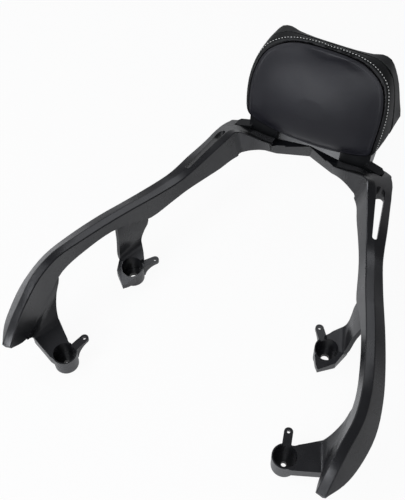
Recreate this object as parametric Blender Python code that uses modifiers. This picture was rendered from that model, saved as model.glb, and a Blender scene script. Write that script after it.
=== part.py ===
"""Luggage rack with backrest for a large motor scooter.

A cast rail reaches forward in two arms, one on each side of the rider's seat.  Each arm
carries two bosses with deep bolt cups.  A cast stay stands on the rail's rear crosspiece
and holds the passenger's backrest, a leather cushion on a board with a moulded shell.

Metres, +Z up, +Y to the rear.  All pieces are drawn from the midpoint between the two
front bosses, a boss's height below their rims, and then moved as one so that the origin
lies under the middle of the whole rack.
"""
import math

import bmesh
import bpy
from mathutils import Matrix, Vector

MM = 0.001
GAP = 0.0003
CUT = 0.002
SHARP_ANGLE = math.radians(32)
CLEAR_OF_ALL = 0.1400
UP = Vector((0, 0, 1))

# Facets round a turned piece, a bored hole and a boss
TURNED_SIDES = 16
HOLE_SIDES = 20
BOSS_SIDES = 36
SOCKET_SIDES = 6
CROWN_TURNS = 2

# Bosses and bolt cups
FRONT_BOSS_X = 0.1545
REAR_BOSS_X = 0.1448
BOSS_PITCH = 0.1590
BOSS_HEIGHT = 0.0200
BOSS_FOOT = -0.0065
CUP_RADIUS = 0.0146
CUP_WALL = 0.0017
BOSS_DRAFT = 0.0006
CUP_FLOOR = -0.0045
NUB_RADIUS = 0.0100
NUB_FOOT = -0.0105
FRONT_HOLE_RADIUS = 0.0034
REAR_HOLE_RADIUS = 0.0055

# Pads that join the legs to the bosses
FRONT_PAD_THICKNESS = 0.0150
REAR_PAD_THICKNESS = 0.0180
REAR_PAD_SLOPE_START = 0.1600
REAR_PAD_TIP_Y = 0.1310
REAR_PAD_TIP_FALL = 0.0100
REAR_SLOPE_SPAN = 0.0400
FRONT_LEG_WALL = 0.0090
REAR_LEG_WALL = 0.0055
LEG_STEPS = 3

# Lugs for the tail fairing's screws
LUG_REACH = 0.0340
LUG_WIDTH = 0.0112
LUG_DROP = 0.0050
LUG_THICKNESS = 0.0046
LUG_ROOT = -0.0045
LUG_EYE_RADIUS = 0.0022
LUG_TURNS = 12
SCOOP_SIDES = 48
FRONT_LUG_ANGLE = math.radians(15.5)
REAR_LUG_ANGLE = math.radians(37.5)

# Arms
BAND_WIDTH = 0.0115
EDGE_ROUND = 0.0012
BRIDGE_RISE = 0.0040
LIP_INSET = 0.0050

# Strap slots near the rear of the arms
SLOT_FRONT = Vector((0.1432, 0.3245))
SLOT_REAR = Vector((0.1248, 0.3950))
SLOT_FRONT_RADIUS = 0.0036
SLOT_REAR_RADIUS = 0.0068
SLOT_TURNS = 8

# Seat of the stay on the rail's rear crosspiece
SEAT_HEIGHT = 0.0620
SEAT_FRONT_MARGIN = 0.0035
SEAT_SIDE_MARGIN = 0.0010
STAY_FRONT_Y = 0.4280
STAY_HALF_WIDTH = 0.0935
LEG_WIDTH = 0.0445
STAY_WALL = 0.0050
STAY_BASE = 0.0120
STAY_DEPTH = 0.0270
WEB_POINT = 0.0150
WEB_ROOT = 0.0060
WEB_LEAN = 0.0340
WEB_TOP = 0.1100
LEG_ROOM_DEPTH = 0.0500
EAR_REACH = 0.0215
EAR_DEPTH = 0.0145
EAR_THICKNESS = 0.0080
EAR_HEIGHT = 0.0695
EAR_FALL = 0.0070
EAR_FORWARD = 0.0025
EAR_MARGIN = 0.0015
EAR_CHAMFER = 0.0035

# Plate behind the backrest
PLATE_HALF_WIDTH = 0.0600
PLATE_THICKNESS = 0.0060
PLATE_LOW = -0.0240
PLATE_HIGH = 0.0575
PLATE_CORNER = 0.0120

# Stay bolts, from below
STAY_BOLT_RADIUS = 0.0040
STAY_BOLT_GRIP = 0.0085
STAY_BOLT_HEAD_RADIUS = 0.0065
STAY_BOLT_HEAD_HEIGHT = 0.0060
STAY_BOLT_BITE = 0.0080
STAY_BOLT_SOCKET = 0.0034
STAY_BOLT_CROWN = 0.0008
STAY_BOLT_SIDE = 0.0110
WASHER_THICKNESS = 0.0015
WASHER_OVERHANG = 0.0040
SPOT_FACE_MARGIN = 0.0012

# Backrest
PAD_BASE = 0.0900
PAD_OVERHANG = 0.0047
PAD_DEPTH = 0.0597
PAD_BOW = 0.0151
PAD_BOW_RISE = 0.0320
PAD_BOW_SPAN = 0.0600
PAD_SIDE_BOW = 0.0090
PAD_SIDE_X = 0.0950
PAD_BULGE = 0.0065
PAD_REAR_RISE = 0.0430
PAD_REAR_LEAN = math.atan(0.14)
GUSSET_PUFF = 0.0048
LEATHER = 0.0018
SHELL_WALL = 0.0026
SHELL_CHAMFER = 0.0030
SHELL_START = 0.56
SEAM = 0.012
BOARD_THICKNESS = 0.0080
BOARD_MARGIN = 0.0055
FOAM_CLEARANCE = 0.0024
FOAM_SETBACK = 0.0042

# Screws of the backrest, placed across and up from the middle of the rear plane
PAD_BOLT_RADIUS = 0.0030
PAD_BOLT_HEAD_RADIUS = 0.0055
PAD_BOLT_HEAD_HEIGHT = 0.0034
PAD_BOLT_SOCKET = 0.0023
PAD_BOLT_CROWN = 0.0026
PAD_WASHER_RADIUS = 0.0062
PAD_WASHER_THICKNESS = 0.0012
PAD_BOLT_X = 0.0420
PAD_BOLT_LOW = 0.0180
PAD_BOLT_HIGH = 0.0480
NUT_BARREL = 0.0055
NUT_BARREL_RADIUS = 0.0042
NUT_FLANGE_RADIUS = 0.0090
NUT_FLANGE = 0.0015
SHELL_SCREW_RADIUS = 0.0021
SHELL_SCREW_HEAD_RADIUS = 0.0044
SHELL_SCREW_HEAD_HEIGHT = 0.0024
SHELL_SCREW_BITE = 0.0060
SHELL_SCREW_GRIP = GAP + SHELL_WALL + GAP
SHELL_SCREW_SOCKET = 0.0014
SHELL_SCREW_CROWN = 0.0014
SHELL_SCREW_PLACES = ((0.0840, 0.0140), (0.0760, 0.0640))


# Collections and materials

for old in list(bpy.data.objects):
    bpy.data.objects.remove(old, do_unlink=True)

parts = bpy.data.collections.new("luggage_rack_with_backrest")
cutters = bpy.data.collections.new("cutters")
bpy.context.scene.collection.children.link(parts)
bpy.context.scene.collection.children.link(cutters)

rack_frame = bpy.data.objects.new("rack_frame", None)
parts.objects.link(rack_frame)


def material(name, colour, roughness, metallic=0.0):
    made = bpy.data.materials.new(name)
    made.use_nodes = True
    shader = made.node_tree.nodes["Principled BSDF"]
    shader.inputs["Base Color"].default_value = (*colour, 1.0)
    shader.inputs["Roughness"].default_value = roughness
    shader.inputs["Metallic"].default_value = metallic
    return made


RAIL_PAINT = material("satin_black_casting", (0.022, 0.022, 0.024), 0.42, 0.3)
STAY_PAINT = material("satin_black_stay", (0.026, 0.026, 0.028), 0.45, 0.3)
FACE_LEATHER = material("face_leather", (0.030, 0.031, 0.038), 0.5)
SIDE_LEATHER = material("gusset_leather", (0.032, 0.035, 0.035), 0.55)
SHELL_PLASTIC = material("shell_plastic", (0.034, 0.037, 0.036), 0.6)
FOAM = material("moulded_foam", (0.62, 0.55, 0.36), 0.9)
BOARD_PLASTIC = material("board_plastic", (0.05, 0.05, 0.05), 0.6)
STEEL = material("zinc_steel", (0.55, 0.56, 0.58), 0.35, 1.0)


# Shared shapes

def piece(name, mesh, surface):
    """Turn a mesh into one named piece of the rack."""
    mesh.materials.clear()
    mesh.materials.append(surface)
    mesh.shade_smooth()
    mesh.set_sharp_from_angle(angle=SHARP_ANGLE)
    made = bpy.data.objects.new(name, mesh)
    parts.objects.link(made)
    made.parent = rack_frame
    return made


def tool(name, mesh):
    """Turn a mesh into a shape that is only joined to or cut from a piece."""
    made = bpy.data.objects.new(name, mesh)
    cutters.objects.link(made)
    made.hide_render = True
    made.display_type = "WIRE"
    made.parent = rack_frame
    return made


def boolean(body, other, operation):
    step = body.modifiers.new(other.name, "BOOLEAN")
    step.operation = operation
    step.solver = "EXACT"
    step.object = other


def finish_mesh(work, name):
    """Turn a closed shape's faces outwards and keep it as a mesh."""
    bmesh.ops.recalc_face_normals(work, faces=work.faces)
    if work.calc_volume(signed=True) < 0:
        bmesh.ops.reverse_faces(work, faces=work.faces)
    mesh = bpy.data.meshes.new(name)
    work.to_mesh(mesh)
    work.free()
    return mesh


def loft(name, rings):
    """Skin over closed rings of equal length, with flat ends."""
    work = bmesh.new()
    loops = [[work.verts.new(point) for point in ring] for ring in rings]
    for near, far in zip(loops[:-1], loops[1:]):
        for i in range(len(near)):
            j = (i + 1) % len(near)
            work.faces.new((near[i], near[j], far[j], far[i]))
    work.faces.new(loops[0])
    work.faces.new(loops[-1])
    bmesh.ops.triangulate(work, faces=work.faces)
    return finish_mesh(work, name)


def prism(name, outline, low, high):
    """A flat outline in plan, extruded from one height to another."""
    flat = bpy.data.curves.new(name, "CURVE")
    flat.dimensions = "2D"
    flat.fill_mode = "BOTH"
    flat.extrude = (high - low) / 2
    line = flat.splines.new("POLY")
    line.points.add(len(outline) - 1)
    for point, corner in zip(line.points, outline):
        point.co = (corner[0], corner[1], 0.0, 1.0)
    line.use_cyclic_u = True
    holder = bpy.data.objects.new(name, flat)
    bpy.context.scene.collection.objects.link(holder)
    bpy.context.view_layer.update()
    graph = bpy.context.evaluated_depsgraph_get()
    mesh = bpy.data.meshes.new_from_object(holder.evaluated_get(graph))
    bpy.data.objects.remove(holder, do_unlink=True)
    work = bmesh.new()
    work.from_mesh(mesh)
    bmesh.ops.remove_doubles(work, verts=work.verts, dist=0.00001)
    bmesh.ops.translate(work, verts=work.verts, vec=(0, 0, (low + high) / 2))
    bpy.data.meshes.remove(mesh)
    return finish_mesh(work, name)


def round_bar(name, radius, start, end, far_radius=None, sides=BOSS_SIDES):
    """A cylinder or cone between two points."""
    axis = Vector(end) - Vector(start)
    turn = axis.to_track_quat("Z", "Y").to_matrix().to_4x4()
    place = Matrix.Translation((Vector(start) + Vector(end)) / 2) @ turn
    work = bmesh.new()
    bmesh.ops.create_cone(
        work, cap_ends=True, segments=sides, radius1=radius,
        radius2=radius if far_radius is None else far_radius, depth=axis.length, matrix=place)
    return finish_mesh(work, name)


def box(name, low, high):
    work = bmesh.new()
    size = Vector(high) - Vector(low)
    place = Matrix.Translation((Vector(high) + Vector(low)) / 2) @ Matrix.Diagonal((*size, 1.0))
    bmesh.ops.create_cube(work, size=1.0, matrix=place)
    return finish_mesh(work, name)


def catmull(a, b, c, d, t):
    return 0.5 * (2 * b + (c - a) * t + (2 * a - 5 * b + 4 * c - d) * t ** 2
                  + (3 * b - a - 3 * c + d) * t ** 3)


def smooth_rows(rows, steps):
    """Rows of numbers resampled along a smooth curve through them."""
    made = []
    for k in range(len(rows) - 1):
        four = [rows[max(k - 1, 0)], rows[k], rows[k + 1], rows[min(k + 2, len(rows) - 1)]]
        for s in range(steps):
            made.append([catmull(*column, s / steps) for column in zip(*four)])
    made.append([float(value) for value in rows[-1]])
    return made


def blend(start, end, t):
    return start + (end - start) * t


# Arms and rear crosspiece of the rail
# Each station, from the tip back, in millimetres: ridge x, y, z; set-in, height and lead of
# the foot of the inner face; fall of the top band; reach and fall of the outer face; lip.

ARM_STATIONS = [
    (205.0, -37.0, 53.0, 0.5, 3.0, 0.0, 0.5, 12.5, 2.0, 4.0),
    (207.0, -13.0, 72.0, 5.5, 35.0, 0.0, 3.0, 24.0, 20.0, 7.0),
    (209.5, 15.0, 82.5, 6.5, 40.0, 0.0, 3.5, 29.5, 28.0, 9.0),
    (212.5, 50.0, 87.5, 7.5, 37.0, 0.0, 0.5, 30.0, 25.0, 9.0),
    (208.0, 85.0, 91.5, 4.0, 28.0, 0.0, 0.5, 28.5, 18.0, 9.0),
    (198.0, 125.0, 85.5, 3.5, 19.5, 0.0, 0.0, 27.0, 11.0, 9.0),
    (184.0, 170.0, 79.5, 4.0, 15.0, 0.0, 0.0, 25.5, 7.0, 9.0),
    (170.5, 208.0, 74.5, 5.0, 22.0, 0.0, 0.0, 25.0, 7.0, 9.0),
    (161.0, 235.0, 69.5, 7.5, 29.0, 0.0, 0.0, 24.5, 5.0, 9.0),
    (147.5, 278.0, 61.0, 7.0, 22.0, 0.0, 0.0, 23.5, 1.5, 9.0),
    (138.5, 304.0, 60.0, 7.0, 20.0, 0.0, 0.0, 26.0, 4.0, 9.0),
    (127.0, 333.0, 67.5, 7.5, 27.0, 0.0, 1.5, 31.0, 10.0, 9.0),
    (116.0, 361.0, 76.0, 9.0, 34.0, 0.0, 2.5, 35.0, 18.0, 9.0),
    (107.5, 382.0, 82.5, 9.0, 38.0, 0.0, 3.0, 38.0, 21.5, 10.0),
    (102.8, 393.5, 87.0, 13.0, 37.0, 0.0, 4.5, 40.0, 23.0, 12.0),
    (99.0, 397.5, 87.2, 11.0, 34.0, 3.0, 6.0, 51.0, 24.5, 13.0),
    (94.0, 399.5, 87.0, 8.0, 31.0, 7.0, 7.5, 50.0, 25.0, 14.0),
    (80.0, 400.0, 86.0, 4.0, 26.0, 3.0, 8.0, 56.0, 22.5, 14.0),
    (64.0, 399.0, 85.0, -3.0, 23.0, 0.0, 9.0, 57.0, 21.5, 14.0),
    (49.0, 399.0, 85.0, -8.0, 23.0, 0.0, 9.0, 57.0, 21.5, 14.0),
]
STATION_STEPS = 4


def toward(start, end, distance):
    """A point a little way from one corner towards another, at most a third of the way."""
    span = end - start
    return start + span.normalized() * min(distance, span.length / 3)


def arm_rings():
    rows = smooth_rows(ARM_STATIONS, STATION_STEPS)
    ridge = [Vector(row[:3]) * MM for row in rows]
    rings = []
    for k, row in enumerate(rows):
        along = ridge[min(k + 1, len(rows) - 1)] - ridge[max(k - 1, 0)]
        along = Vector((along.x, along.y, 0)).normalized()
        out = Vector((along.y, -along.x, 0))
        set_in, inner_height, lead, band_fall, reach, outer_fall, lip = (v * MM for v in row[3:])
        inset = min(LIP_INSET, reach / 3)
        top = ridge[k]
        low = top - out * set_in + along * lead - UP * inner_height
        band = top + out * BAND_WIDTH - UP * band_fall
        outer = top + out * max(reach, BAND_WIDTH + EDGE_ROUND) - UP * outer_fall
        lip_low = outer - out * inset - UP * lip
        heel = low + out * inset - UP * lip / 4
        rings.append([
            low,
            toward(top, low, EDGE_ROUND), toward(top, band, EDGE_ROUND),
            toward(band, top, EDGE_ROUND), toward(band, outer, EDGE_ROUND),
            toward(outer, band, EDGE_ROUND), toward(outer, lip_low, EDGE_ROUND),
            lip_low, heel])
    return rings


grab_rail = piece("grab_rail", loft("grab_rail", arm_rings()), RAIL_PAINT)

# Bridge between the arms, a shallow V in plan with its point to the rear
# Each station, in millimetres: x; y of the front face's top and foot; y of the rear face;
# height of the foot and of the top.

BRIDGE_STATIONS = [
    (0.0, 441.0, 447.0, 473.0, 36.0, 62.5),
    (44.0, 418.5, 421.0, 461.0, 46.0, 65.5),
    (58.0, 403.5, 405.0, 452.0, 61.5, 68.0),
]


def past_middle(first, second):
    """The first of two stations moved on along its own line, just past the middle plane."""
    share = -CUT / MM / (second[0] - first[0])
    return tuple(blend(a, b, share) for a, b in zip(first, second))


def bridge_rings():
    stations = [past_middle(*BRIDGE_STATIONS[:2]), *BRIDGE_STATIONS[1:]]
    rings = []
    for row in stations:
        x, front, front_foot, rear, foot, top = (v * MM for v in row)
        rings.append([Vector((x, front_foot, foot)), Vector((x, front, top)),
                      Vector((x, rear, top)), Vector((x, rear, foot + BRIDGE_RISE))])
    return rings


bridge = tool("rail_bridge", loft("rail_bridge", bridge_rings()))
boolean(grab_rail, bridge, "UNION")


# Bosses, pads, legs and lugs

class Boss:
    """Where one boss stands, and which way its lug points."""

    def __init__(self, name, x, y, lug_angle):
        self.name = name
        self.centre = Vector((x, y, 0))
        self.lug_way = Vector((-math.sin(lug_angle), math.cos(lug_angle), 0))

    def at(self, x, y, up=0.0):
        """A point in millimetres across and back from the boss's axis and up from its rim."""
        return self.centre + Vector((x, y, up)) * MM + UP * BOSS_HEIGHT


front_boss = Boss("front", FRONT_BOSS_X, 0.0, FRONT_LUG_ANGLE)
rear_boss = Boss("rear", REAR_BOSS_X, BOSS_PITCH, REAR_LUG_ANGLE)


def leg_sheet(name, wall, front_edge, rear_edge, columns=4):
    """A bent sheet between two smooth edges, thickened on its hidden side."""
    work = bmesh.new()
    edges = [[Vector(row) for row in smooth_rows(edge, LEG_STEPS)]
             for edge in (front_edge, rear_edge)]
    rows = [[work.verts.new(blend(a, b, c / (columns - 1))) for c in range(columns)]
            for a, b in zip(*edges)]
    for upper, lower in zip(rows[:-1], rows[1:]):
        for i in range(columns - 1):
            work.faces.new((upper[i], upper[i + 1], lower[i + 1], lower[i]))
    mesh = bpy.data.meshes.new(name)
    work.to_mesh(mesh)
    work.free()
    made = tool(name, mesh)
    thick = made.modifiers.new("thickness", "SOLIDIFY")
    thick.thickness = wall
    thick.offset = -1.0
    thick.use_even_offset = True
    return made


front_leg = leg_sheet(
    "front_leg", FRONT_LEG_WALL,
    [front_boss.at(58.0, -4.0, 44.0), front_boss.at(47.3, -11.0, 17.0),
     front_boss.at(47.8, -6.0, 9.0), front_boss.at(48.0, -1.0, 3.5),
     front_boss.at(46.0, 1.0, 0.3), front_boss.at(38.0, -1.0, -0.2),
     front_boss.at(14.0, -10.0, -0.2)],
    [front_boss.at(60.0, 84.0, 50.0), front_boss.at(51.0, 76.0, 37.0),
     front_boss.at(47.5, 62.0, 25.0), front_boss.at(41.5, 49.0, 14.0),
     front_boss.at(34.5, 40.0, 3.5), front_boss.at(28.0, 35.0, -0.2),
     front_boss.at(8.0, 20.0, -0.2)])
rear_leg = leg_sheet(
    "rear_leg", REAR_LEG_WALL,
    [rear_boss.at(35.0, 24.0, 50.0), rear_boss.at(26.5, 13.5, 28.0),
     rear_boss.at(23.5, 7.5, 12.0), rear_boss.at(22.0, 4.5, 3.5),
     rear_boss.at(19.0, 2.5, 0.3), rear_boss.at(8.0, 4.0, -0.2)],
    [rear_boss.at(19.0, 78.0, 46.0), rear_boss.at(11.0, 68.0, 19.0),
     rear_boss.at(11.0, 56.0, 11.0), rear_boss.at(10.5, 46.0, 4.5),
     rear_boss.at(6.0, 38.0, 0.3), rear_boss.at(-10.0, 16.0, -0.2)])

FRONT_PAD = [(49.0, 1.5), (34.0, 40.0), (20.0, 29.0), (5.0, 17.0), (-8.0, 12.0),
             (-12.0, -6.0), (0.0, -15.0), (14.0, -13.0)]
REAR_PAD = [(17.5, -13.0), (25.0, 13.0), (8.5, 42.0), (-3.0, 27.0), (-13.0, 6.0),
            (-11.0, -14.0), (-6.0, -23.0), (-0.5, -29.0)]
front_pad = tool("front_pad", prism(
    "front_pad", [front_boss.at(*p) for p in FRONT_PAD],
    BOSS_HEIGHT - FRONT_PAD_THICKNESS, BOSS_HEIGHT))
rear_pad = tool("rear_pad", prism(
    "rear_pad", [rear_boss.at(*p) for p in REAR_PAD],
    BOSS_HEIGHT - REAR_PAD_THICKNESS, BOSS_HEIGHT))

# The rear pads and the near rims of their cups fall away to the front.

rear_slope = tool("rear_slope", loft("rear_slope", [
    [Vector((x, REAR_PAD_SLOPE_START, BOSS_HEIGHT)),
     Vector((x, REAR_PAD_TIP_Y, BOSS_HEIGHT - REAR_PAD_TIP_FALL)),
     Vector((x, REAR_PAD_TIP_Y - REAR_SLOPE_SPAN, BOSS_HEIGHT - REAR_PAD_TIP_FALL)),
     Vector((x, REAR_PAD_TIP_Y - REAR_SLOPE_SPAN, CLEAR_OF_ALL)),
     Vector((x, REAR_PAD_SLOPE_START, CLEAR_OF_ALL))]
    for x in (REAR_BOSS_X - REAR_SLOPE_SPAN, REAR_BOSS_X + REAR_SLOPE_SPAN)]))
boolean(rear_pad, rear_slope, "DIFFERENCE")


rim_radius = CUP_RADIUS + CUP_WALL


def lug(boss):
    """A bar with an eye, thin at the eye and deep where it leaves the boss."""
    side = Vector((boss.lug_way.y, -boss.lug_way.x, 0)) * LUG_WIDTH / 2
    eye = boss.centre + boss.lug_way * LUG_REACH
    outline = [boss.centre - side, boss.centre + side]
    for k in range(LUG_TURNS + 1):
        turn = math.pi * k / LUG_TURNS
        outline.append(eye + side * math.cos(turn) + boss.lug_way * LUG_WIDTH / 2 * math.sin(turn))
    top = BOSS_HEIGHT - LUG_DROP
    bar = tool(boss.name + "_lug", prism(boss.name + "_lug", outline, LUG_ROOT, top))
    hollow = LUG_REACH - rim_radius
    under = top - LUG_THICKNESS - LUG_ROOT
    radius = (hollow ** 2 + under ** 2) / (2 * under)
    axis = eye + Vector((0, 0, top - LUG_THICKNESS - radius))
    scoop = tool(boss.name + "_lug_scoop", round_bar(
        boss.name + "_lug_scoop", radius, axis - side * 3, axis + side * 3, sides=SCOOP_SIDES))
    boolean(bar, scoop, "DIFFERENCE")
    return bar, eye


lug_eyes = []
for boss, hole_radius in ((front_boss, FRONT_HOLE_RADIUS), (rear_boss, REAR_HOLE_RADIUS)):
    post = tool(boss.name + "_boss", round_bar(
        boss.name + "_boss", rim_radius - BOSS_DRAFT, boss.centre + UP * BOSS_FOOT,
        boss.centre + UP * BOSS_HEIGHT, far_radius=rim_radius))
    nub = tool(boss.name + "_nub", round_bar(
        boss.name + "_nub", NUB_RADIUS, boss.centre + UP * NUB_FOOT,
        boss.centre + UP * (BOSS_FOOT + CUT / 4), sides=HOLE_SIDES))
    if boss is rear_boss:
        boolean(post, rear_slope, "DIFFERENCE")
    bar, eye = lug(boss)
    lug_eyes.append((boss, eye, hole_radius))
    boolean(grab_rail, post, "UNION")
    boolean(grab_rail, nub, "UNION")
    boolean(grab_rail, bar, "UNION")
for shape in (front_pad, rear_pad, front_leg, rear_leg):
    boolean(grab_rail, shape, "UNION")

for boss, eye, hole_radius in lug_eyes:
    cup = tool(boss.name + "_cup", round_bar(
        boss.name + "_cup", CUP_RADIUS, boss.centre + UP * CUP_FLOOR,
        boss.centre + UP * 2 * BOSS_HEIGHT))
    hole = tool(boss.name + "_bolt_hole", round_bar(
        boss.name + "_bolt_hole", hole_radius, boss.centre + UP * (NUB_FOOT - CUT),
        boss.centre + UP * (CUP_FLOOR + CUT), sides=HOLE_SIDES))
    eye_hole = tool(boss.name + "_lug_eye", round_bar(
        boss.name + "_lug_eye", LUG_EYE_RADIUS, eye + UP * LUG_ROOT,
        eye + UP * (BOSS_HEIGHT + CUT), sides=HOLE_SIDES))
    side = Vector((boss.lug_way.y, -boss.lug_way.x, 0)) * (LUG_WIDTH / 2 - EDGE_ROUND)
    reach = boss.lug_way * (rim_radius + CUT)
    notch = tool(boss.name + "_cup_notch", prism(
        boss.name + "_cup_notch",
        [boss.centre - side, boss.centre + side,
         boss.centre + side + reach, boss.centre - side + reach],
        BOSS_HEIGHT - LUG_DROP + GAP, BOSS_HEIGHT + CUT))
    for shape in (cup, hole, eye_hole, notch):
        boolean(grab_rail, shape, "DIFFERENCE")


# Strap slots, the seat of the stay and the pockets for its ears

def slot_outline(start, start_radius, end, end_radius):
    """Two half circles of unlike size joined by straight sides."""
    along = (end - start).normalized()
    side = Vector((along.y, -along.x))
    outline = []
    for centre, radius, way in ((start, start_radius, -1), (end, end_radius, 1)):
        for k in range(SLOT_TURNS + 1):
            turn = math.pi * k / SLOT_TURNS
            outline.append(centre + way * radius * (along * math.sin(turn) - side * math.cos(turn)))
    return outline


strap_slot = tool("strap_slot", prism(
    "strap_slot", slot_outline(SLOT_FRONT, SLOT_FRONT_RADIUS, SLOT_REAR, SLOT_REAR_RADIUS),
    CUT, CLEAR_OF_ALL))
boolean(grab_rail, strap_slot, "DIFFERENCE")

seat_cut = tool("stay_seat", box(
    "stay_seat", (-CUT, STAY_FRONT_Y - SEAT_FRONT_MARGIN, SEAT_HEIGHT),
    (STAY_HALF_WIDTH + SEAT_SIDE_MARGIN, STAY_FRONT_Y + CLEAR_OF_ALL, CLEAR_OF_ALL)))
boolean(grab_rail, seat_cut, "DIFFERENCE")

ear_front = STAY_FRONT_Y - EAR_FORWARD
ear_rear = ear_front + EAR_DEPTH
ear_end = STAY_HALF_WIDTH + EAR_REACH


def on_ear(x, y, lift=0.0):
    """A point on the plane under an ear, which falls outwards, or a lift above it."""
    return Vector((x, y, EAR_HEIGHT + lift - EAR_FALL * (x - STAY_HALF_WIDTH) / EAR_REACH))


def square(x_low, x_high, y_low, y_high):
    return [(x_low, y_low), (x_high, y_low), (x_high, y_high), (x_low, y_high)]


pocket_outline = square(STAY_HALF_WIDTH - CUT, ear_end + EAR_MARGIN,
                        ear_front - EAR_MARGIN, ear_rear + EAR_MARGIN)
ear_pocket = tool("ear_pocket", loft("ear_pocket", [
    [on_ear(x, y) for x, y in pocket_outline],
    [on_ear(x, y, CLEAR_OF_ALL - EAR_HEIGHT) for x, y in pocket_outline]]))
boolean(grab_rail, ear_pocket, "DIFFERENCE")

# Bolt holes through the seat, spot-faced from below

leg_inner_x = STAY_HALF_WIDTH - LEG_WIDTH
bolt_x = (leg_inner_x + STAY_BOLT_SIDE, STAY_HALF_WIDTH - STAY_BOLT_SIDE)
bolt_y = STAY_FRONT_Y + STAY_DEPTH / 2
spot_height = SEAT_HEIGHT - STAY_BOLT_GRIP
for k, x in enumerate(bolt_x):
    spot = tool(f"spot_face_{k}", round_bar(
        f"spot_face_{k}", STAY_BOLT_RADIUS + WASHER_OVERHANG + SPOT_FACE_MARGIN,
        (x, bolt_y, 0.0), (x, bolt_y, spot_height), sides=HOLE_SIDES))
    through = tool(f"seat_hole_{k}", round_bar(
        f"seat_hole_{k}", STAY_BOLT_RADIUS + GAP, (x, bolt_y, spot_height - CUT),
        (x, bolt_y, SEAT_HEIGHT + CUT), sides=HOLE_SIDES))
    boolean(grab_rail, spot, "DIFFERENCE")
    boolean(grab_rail, through, "DIFFERENCE")


def mirror(body):
    """Cut the piece at the middle plane and mirror the half at +X."""
    step = body.modifiers.new("other_half", "MIRROR")
    step.use_axis = (True, False, False)
    step.use_bisect_axis = (True, False, False)
    step.use_clip = True
    step.merge_threshold = 0.00005


mirror(grab_rail)


# Form of the backrest
# Half outlines, from the top centre round to the bottom centre, in millimetres across and up
# from the lowest point of the front seam.

FRONT_OUTLINE = [(0.0, 140.0), (28.0, 139.0), (52.0, 135.0), (71.0, 127.0), (85.0, 116.0),
                 (93.0, 101.0), (97.0, 81.0), (97.5, 60.0), (96.0, 34.0), (94.5, 16.0),
                 (85.0, 8.0), (62.0, 4.0), (34.0, 1.0), (0.0, 0.0)]
REAR_OUTLINE = [(0.0, 124.5), (30.0, 124.8), (54.0, 127.3), (66.0, 131.3), (78.5, 128.6),
                (88.0, 116.0), (97.0, 97.0), (105.0, 71.0), (111.5, 49.0), (105.0, 41.0),
                (90.0, 38.5), (62.0, 36.0), (34.0, 34.0), (0.0, 33.0)]
OUTLINE_STEPS = 2


def whole_outline(half):
    """The full closed outline, smoothly resampled, from a half at +X."""
    back = [(-x, up) for x, up in reversed(half[1:-1])]
    loop = half + back
    count = len(loop)
    made = []
    for k in range(count):
        four = [loop[(k + j - 1) % count] for j in range(4)]
        for s in range(OUTLINE_STEPS):
            x, up = (catmull(*column, s / OUTLINE_STEPS) for column in zip(*four))
            made.append(Vector((x * MM, PAD_BASE + up * MM)))
    return made


front_outline = whole_outline(FRONT_OUTLINE)
rear_outline = whole_outline(REAR_OUTLINE)
pad_front = STAY_FRONT_Y - PAD_OVERHANG
pad_rear = pad_front + PAD_DEPTH
rear_middle = PAD_BASE + PAD_REAR_RISE


def front_y(x, z):
    """The cushion's front is bowed both ways."""
    rise = z - PAD_BASE - PAD_BOW_RISE
    bow = PAD_BOW * (rise / PAD_BOW_SPAN) ** 2
    return pad_front + bow + PAD_SIDE_BOW * ((x / PAD_SIDE_X) ** 2 - 1)


def rear_y(z):
    return pad_rear + math.tan(PAD_REAR_LEAN) * (z - rear_middle)


def outward(loop, k):
    """Outward direction of a flat outline that runs clockwise seen from the front."""
    along = loop[(k + 1) % len(loop)] - loop[k - 1]
    return Vector((-along.y, along.x)).normalized()


def drawn_in(loop, inset):
    """A flat outline with each point moved towards the outline's middle."""
    middle = sum(loop, Vector((0.0, 0.0))) / len(loop)
    return [point + (middle - point).normalized() * inset for point in loop]


def pad_ring(t, inset=0.0, push=0.0):
    """The outline at a share of the depth, 0 at the front seam and 1 at the rear."""
    flat = [a.lerp(b, t) for a, b in zip(front_outline, rear_outline)]
    puff = GUSSET_PUFF * math.sin(math.pi * math.sqrt(t))
    moved = drawn_in([point + outward(flat, k) * puff for k, point in enumerate(flat)], inset)
    ring = []
    for k, (x, z) in enumerate(moved):
        rear = rear_y(rear_outline[k].y + z - flat[k].y)
        y = blend(front_y(*front_outline[k]), rear, t)
        ring.append(Vector((x, y + push, z)))
    return ring


def face_ring(share, depth):
    """A ring on the bulging face, 1 at the seam and towards 0 at the middle."""
    middle = Vector((0.0, sum(p.y for p in front_outline) / len(front_outline)))
    ring = []
    for point in front_outline:
        x, z = middle.lerp(point, share)
        bulge = PAD_BULGE * (1 - share ** 4)
        ring.append(Vector((x, front_y(x, z) - bulge + depth, z)))
    return ring


def skin(name, rings, close_start=False, close_end=False):
    """An open surface over rings of equal length."""
    work = bmesh.new()
    loops = [[work.verts.new(point) for point in ring] for ring in rings]
    for near, far in zip(loops[:-1], loops[1:]):
        for i in range(len(near)):
            j = (i + 1) % len(near)
            work.faces.new((near[i], near[j], far[j], far[i]))
    if close_start:
        work.faces.new(loops[0])
    if close_end:
        work.faces.new(loops[-1])
    return work


def solidify(body, thickness):
    step = body.modifiers.new("wall", "SOLIDIFY")
    step.thickness = thickness
    step.offset = -1.0
    step.use_even_offset = True


FACE_SHARES = (0.2, 0.5, 0.76, 0.92, 0.992)

face_work = skin("face_panel", [face_ring(s, 0.0) for s in FACE_SHARES], close_start=True)
bmesh.ops.recalc_face_normals(face_work, faces=face_work.faces)
if sum(face.normal.y for face in face_work.faces) > 0:
    bmesh.ops.reverse_faces(face_work, faces=face_work.faces)
face_mesh = bpy.data.meshes.new("face_panel")
face_work.to_mesh(face_mesh)
face_work.free()
face_panel = piece("face_panel", face_mesh, FACE_LEATHER)
solidify(face_panel, LEATHER)


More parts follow.
